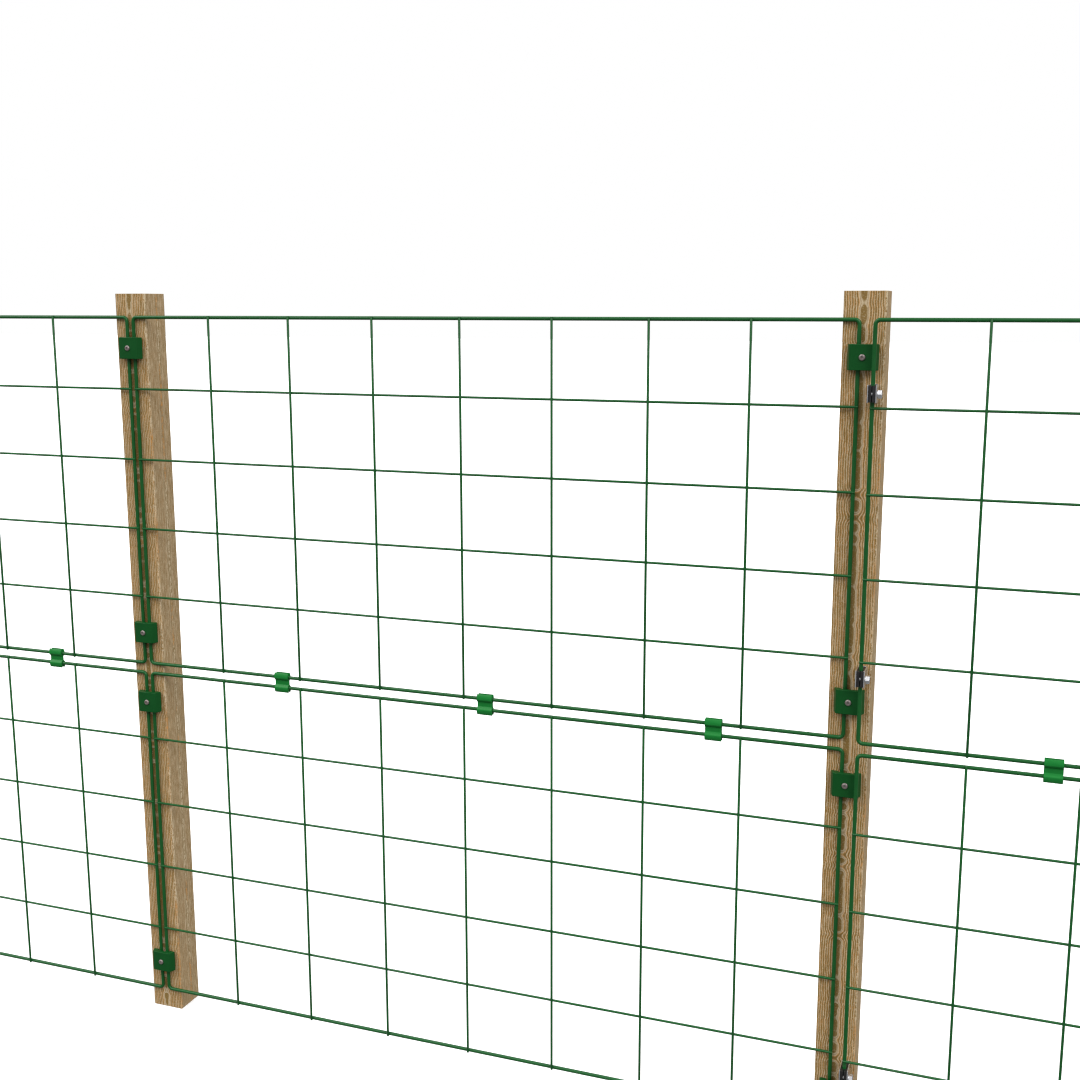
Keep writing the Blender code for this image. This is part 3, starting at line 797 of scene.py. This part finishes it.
def bracket_mesh(size, bolt_ahead):
    """U bracket with rounded bends, drilled for the cross bolt."""
    outer = size["cheek"]
    inner = outer - BRACKET_T
    back = size["back"]
    web = back - BRACKET_T
    outline = [(-outer, size["front"]), (-inner, size["front"])]
    outline += arc(INNER_BEND, 180.0, 90.0, 4, (-inner + INNER_BEND, web - INNER_BEND))
    outline += arc(INNER_BEND, 90.0, 0.0, 4, (inner - INNER_BEND, web - INNER_BEND))
    outline += [(inner, size["front"]), (outer, size["front"])]
    outline += arc(OUTER_BEND, 0.0, 90.0, 8, (outer - OUTER_BEND, back - OUTER_BEND))
    outline += arc(OUTER_BEND, 90.0, 180.0, 8, (-outer + OUTER_BEND, back - OUTER_BEND))
    channel = bare(prism(outline, size["height"], "Z"), "channel")
    hole = prism(circle(BOLT_R + GAP, 32, (-bolt_ahead, 0.0)), 4 * outer, "X")
    return combine(channel, [bare(hole, "hole")], "DIFFERENCE")


def block_mesh(size, front, tools):
    """Nylon block that fills the bracket up to `front`, bored for the rod and cut with the tools."""
    half = size["bush_half"]
    outline = [(-half, size["bush_back"]), (-half, front), (half, front), (half, size["bush_back"])]
    block = bare(prism(outline, size["bush_height"], "Z"), "block")
    pocket = prism(circle(SCREW_HEAD_R + GAP, 24), 2 * POCKET_DEPTH, "Y")
    move(pocket, y=size["bush_back"])
    bore = prism(circle(ROD_R + 2 * GAP, 36), THROUGH, "Z")
    return combine(block, [bare(bore, "bore"), bare(pocket, "pocket"), *tools], "DIFFERENCE")


def bush_mesh(size):
    """Slotted nylon bush, with the bore for the leaf's rod and the cross hole for the bolt."""
    half = BUSH_SLOT / 2
    deep = 2 * size["bush_front"]
    slot = prism([(-half, 0.0), (-half, deep), (half, deep), (half, 0.0)], THROUGH, "Z")
    cross = prism(circle(BOLT_R + GAP, 32, (-size["bolt_ahead"], 0.0)), THROUGH, "X")
    return block_mesh(size, size["bush_front"], [bare(slot, "slot"), bare(cross, "cross")])


def hexagon_head():
    """Hexagon head from Z = 0 up, its corners turned off to a chamfer."""
    corner = BOLT_HEAD_FLATS / math.sqrt(3)
    flat = 0.47 * BOLT_HEAD_FLATS
    clear = 1.02 * corner
    below = -0.001
    hexagon = prism(circle(corner, 6), BOLT_HEAD_T, "Z")
    move(hexagon, z=BOLT_HEAD_T / 2)
    cone = lathe([
        (0.0, below), (clear, below), (clear, BOLT_HEAD_T - 0.5 * (corner - flat)),
        (flat, BOLT_HEAD_T), (0.0, BOLT_HEAD_T),
    ], 64)
    return combine(bare(hexagon, "head"), [bare(cone, "cone")], "INTERSECT")


def bolt_mesh(size):
    """Cross bolt along X: shank, round collar, then the hexagon head at +X."""
    reach = size["cheek"]
    collar = reach + GAP
    face = collar + COLLAR_T
    bm = lathe([
        (0.0, -reach), (BOLT_R - BOLT_EDGE, -reach), (BOLT_R, BOLT_EDGE - reach), (BOLT_R, collar),
        (COLLAR_R - COLLAR_EDGE, collar), (COLLAR_R, collar + COLLAR_EDGE),
        (COLLAR_R, face - COLLAR_EDGE), (COLLAR_R - COLLAR_EDGE, face), (0.0, face),
    ])
    head = hexagon_head()
    head.transform(Matrix.Translation((0.0, 0.0, face - GAP)))
    bm.from_mesh(head)
    turn(bm, 90, "Y")
    return bare(bm, "bolt")


def pin_mesh(size):
    """Latch pin along X with a round turned knob."""
    reach = size["cheek"]
    neck = reach + PIN_NECK
    knob = []
    for x, y in arc(1.0, -90.0, 90.0, 16):
        radius = KNOB_R * (1 - KNOB_ROUND + KNOB_ROUND * x)
        knob.append((radius, neck + KNOB_T * (0.5 + 0.5 * y)))
    profile = [(0.0, -reach), (BOLT_R - PIN_EDGE, -reach), (BOLT_R, PIN_EDGE - reach), (BOLT_R, neck)]
    profile += knob + [(0.0, neck + KNOB_T)]
    return bare(turn(lathe(profile, 48), 90, "Y"), "pin")


def build_hinges(zinc, nylon, steel):
    size = hardware_sizes()
    bracket = bracket_mesh(size, size["bolt_ahead"])
    bush = bush_mesh(size)
    bolt = bolt_mesh(size)
    screw = screw_mesh("upper_hinge_screw")
    for name in ("upper", "middle", "lower"):
        z = node_centre(f"{name}_hinge_bracket").z
        axis = (HINGE_AXIS.x, HINGE_AXIS.y, z)
        ahead = (HINGE_AXIS.x, HINGE_AXIS.y - size["bolt_ahead"], z)
        head = (HINGE_AXIS.x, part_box(f"{name}_hinge_screw")[0].y + SCREW_HEAD_H, z)
        stem = f"{name}_hinge"
        show(f"{stem}_bracket_plated", bracket, zinc, axis, f"{stem}_bracket", bevel=0.0004)
        show(f"{stem}_bush_moulded", bush, nylon, axis, f"{stem}_bush", bevel=0.0004)
        show(f"{stem}_bolt_plated", bolt, zinc, ahead, f"{stem}_bolt", bevel=0.0002)
        show(f"{stem}_screw_plated", screw, steel, head, f"{stem}_screw", bevel=0.0002)


def build_latch(zinc, nylon, steel):
    size = hardware_sizes()
    centre = node_centre("latch_bracket")
    pin_y = node_centre("latch_pin").y
    axis = (centre.x, HINGE_AXIS.y, centre.z)
    bracket = bracket_mesh(size, HINGE_AXIS.y - pin_y)
    buffer_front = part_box("latch_buffer")[0].y - HINGE_AXIS.y
    buffer = block_mesh(size, buffer_front, [])
    head = (centre.x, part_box("latch_screw")[0].y + SCREW_HEAD_H, centre.z)
    show("latch_bracket_plated", bracket, zinc, axis, "latch_bracket", bevel=0.0004)
    show("latch_buffer_moulded", buffer, nylon, axis, "latch_buffer", bevel=0.0004)
    show("latch_pin_plated", pin_mesh(size), zinc, (centre.x, pin_y, centre.z), "latch_pin")
    show("latch_screw_plated", screw_mesh("latch_screw"), steel, head, "latch_screw")


# ------------------------------------------------------------------ stage, light and camera

def build_stage():
    """Plain pale floor."""
    bm = bmesh.new()
    bmesh.ops.create_grid(bm, x_segments=2, y_segments=2, size=60.0)
    floor = bpy.data.objects.new("floor", bare(bm, "floor"))
    bpy.context.scene.collection.objects.link(floor)
    floor.location.z = -0.0005
    net = Network("pale_floor")
    net.set("Base Color", (0.93, 0.93, 0.93, 1.0))
    net.set("Roughness", 0.9)
    net.set("Specular IOR Level", 0.1)
    net.set("Emission Color", (1.0, 1.0, 1.0, 1.0))
    net.set("Emission Strength", 0.28)
    floor.data.materials.append(net.material)
    floor.visible_glossy = False
    floor.visible_diffuse = False


def build_world():
    """White to the camera, an even fill, and a sky that reflections see as dim below and bright above."""
    world = bpy.data.worlds.new("studio")
    world.use_nodes = True
    bpy.context.scene.world = world
    nodes = world.node_tree.nodes
    links = world.node_tree.links

    def background(strength):
        made = nodes.new("ShaderNodeBackground")
        made.inputs["Color"].default_value = (1.0, 1.0, 1.0, 1.0)
        made.inputs["Strength"].default_value = strength
        return made

    def choose(switch, first, second):
        made = nodes.new("ShaderNodeMixShader")
        links.new(switch, made.inputs[0])
        links.new(first.outputs[0], made.inputs[1])
        links.new(second.outputs[0], made.inputs[2])
        return made

    height = nodes.new("ShaderNodeSeparateXYZ")
    links.new(nodes.new("ShaderNodeTexCoord").outputs["Generated"], height.inputs[0])

    def sky(start, end, low, high):
        shade = nodes.new("ShaderNodeMapRange")
        shade.interpolation_type = "SMOOTHSTEP"
        limits = {"From Min": start, "From Max": end, "To Min": low, "To Max": high}
        for name, value in limits.items():
            shade.inputs[name].default_value = value
        links.new(height.outputs[2], shade.inputs["Value"])
        made = background(1.0)
        links.new(shade.outputs[0], made.inputs["Strength"])
        return made

    fill = sky(-0.5, 0.5, FILL_LOW, FILL_HIGH)
    reflected = sky(-0.1, 0.9, REFLECTED_LOW, REFLECTED_HIGH)
    path = nodes.new("ShaderNodeLightPath")
    lit = choose(path.outputs["Is Glossy Ray"], fill, reflected)
    seen = choose(path.outputs["Is Camera Ray"], lit, background(1.0))
    links.new(seen.outputs[0], nodes["World Output"].inputs["Surface"])


def sun(name, direction, energy, angle):
    """A distant lamp; direction is the way its light travels."""
    data = bpy.data.lights.new(name, "SUN")
    data.energy = energy
    data.angle = math.radians(angle)
    lamp = bpy.data.objects.new(name, data)
    bpy.context.scene.collection.objects.link(lamp)
    lamp.rotation_euler = Vector(direction).to_track_quat("-Z", "Y").to_euler()


def build_lights():
    """Soft light from high in front on both sides, stronger from the right, and a weak one behind."""
    sun("high_left", (0.58, 0.45, -0.68), 1.8, 42.0)
    sun("high_right", (-0.62, 0.43, -0.66), 2.25, 42.0)
    sun("behind", (0.1, -0.5, -0.6), 0.3, 60.0)


def build_camera():
    data = bpy.data.cameras.new("camera")
    data.lens = CAMERA_LENS
    data.sensor_width = 36.0
    data.shift_x = CAMERA_SHIFT
    camera = bpy.data.objects.new("camera", data)
    bpy.context.scene.collection.objects.link(camera)
    camera.location = CAMERA_AT
    camera.rotation_euler = (math.radians(CAMERA_TILT), 0.0, math.radians(CAMERA_TURN))
    bpy.context.scene.camera = camera
    bpy.context.scene.cycles.filter_width = 1.25


def build():
    panel_coat = powder_coat("green_panel_coat", srgb(15, 76, 31), srgb(22, 86, 37), 0.25)
    clamp_coat = powder_coat("green_clamp_coat", srgb(12, 69, 27), srgb(17, 77, 32), 0.14)
    zinc = bright_zinc()
    nylon = black_nylon()
    steel = screw_steel()
    build_posts()
    build_panels(panel_coat)
    build_clips(clip_plastic())
    build_clamps(clamp_coat, steel)
    build_hinges(zinc, nylon, steel)
    build_latch(zinc, nylon, steel)
    build_stage()
    build_world()
    build_lights()
    build_camera()
    bpy.context.scene.view_settings.view_transform = "Standard"


build()
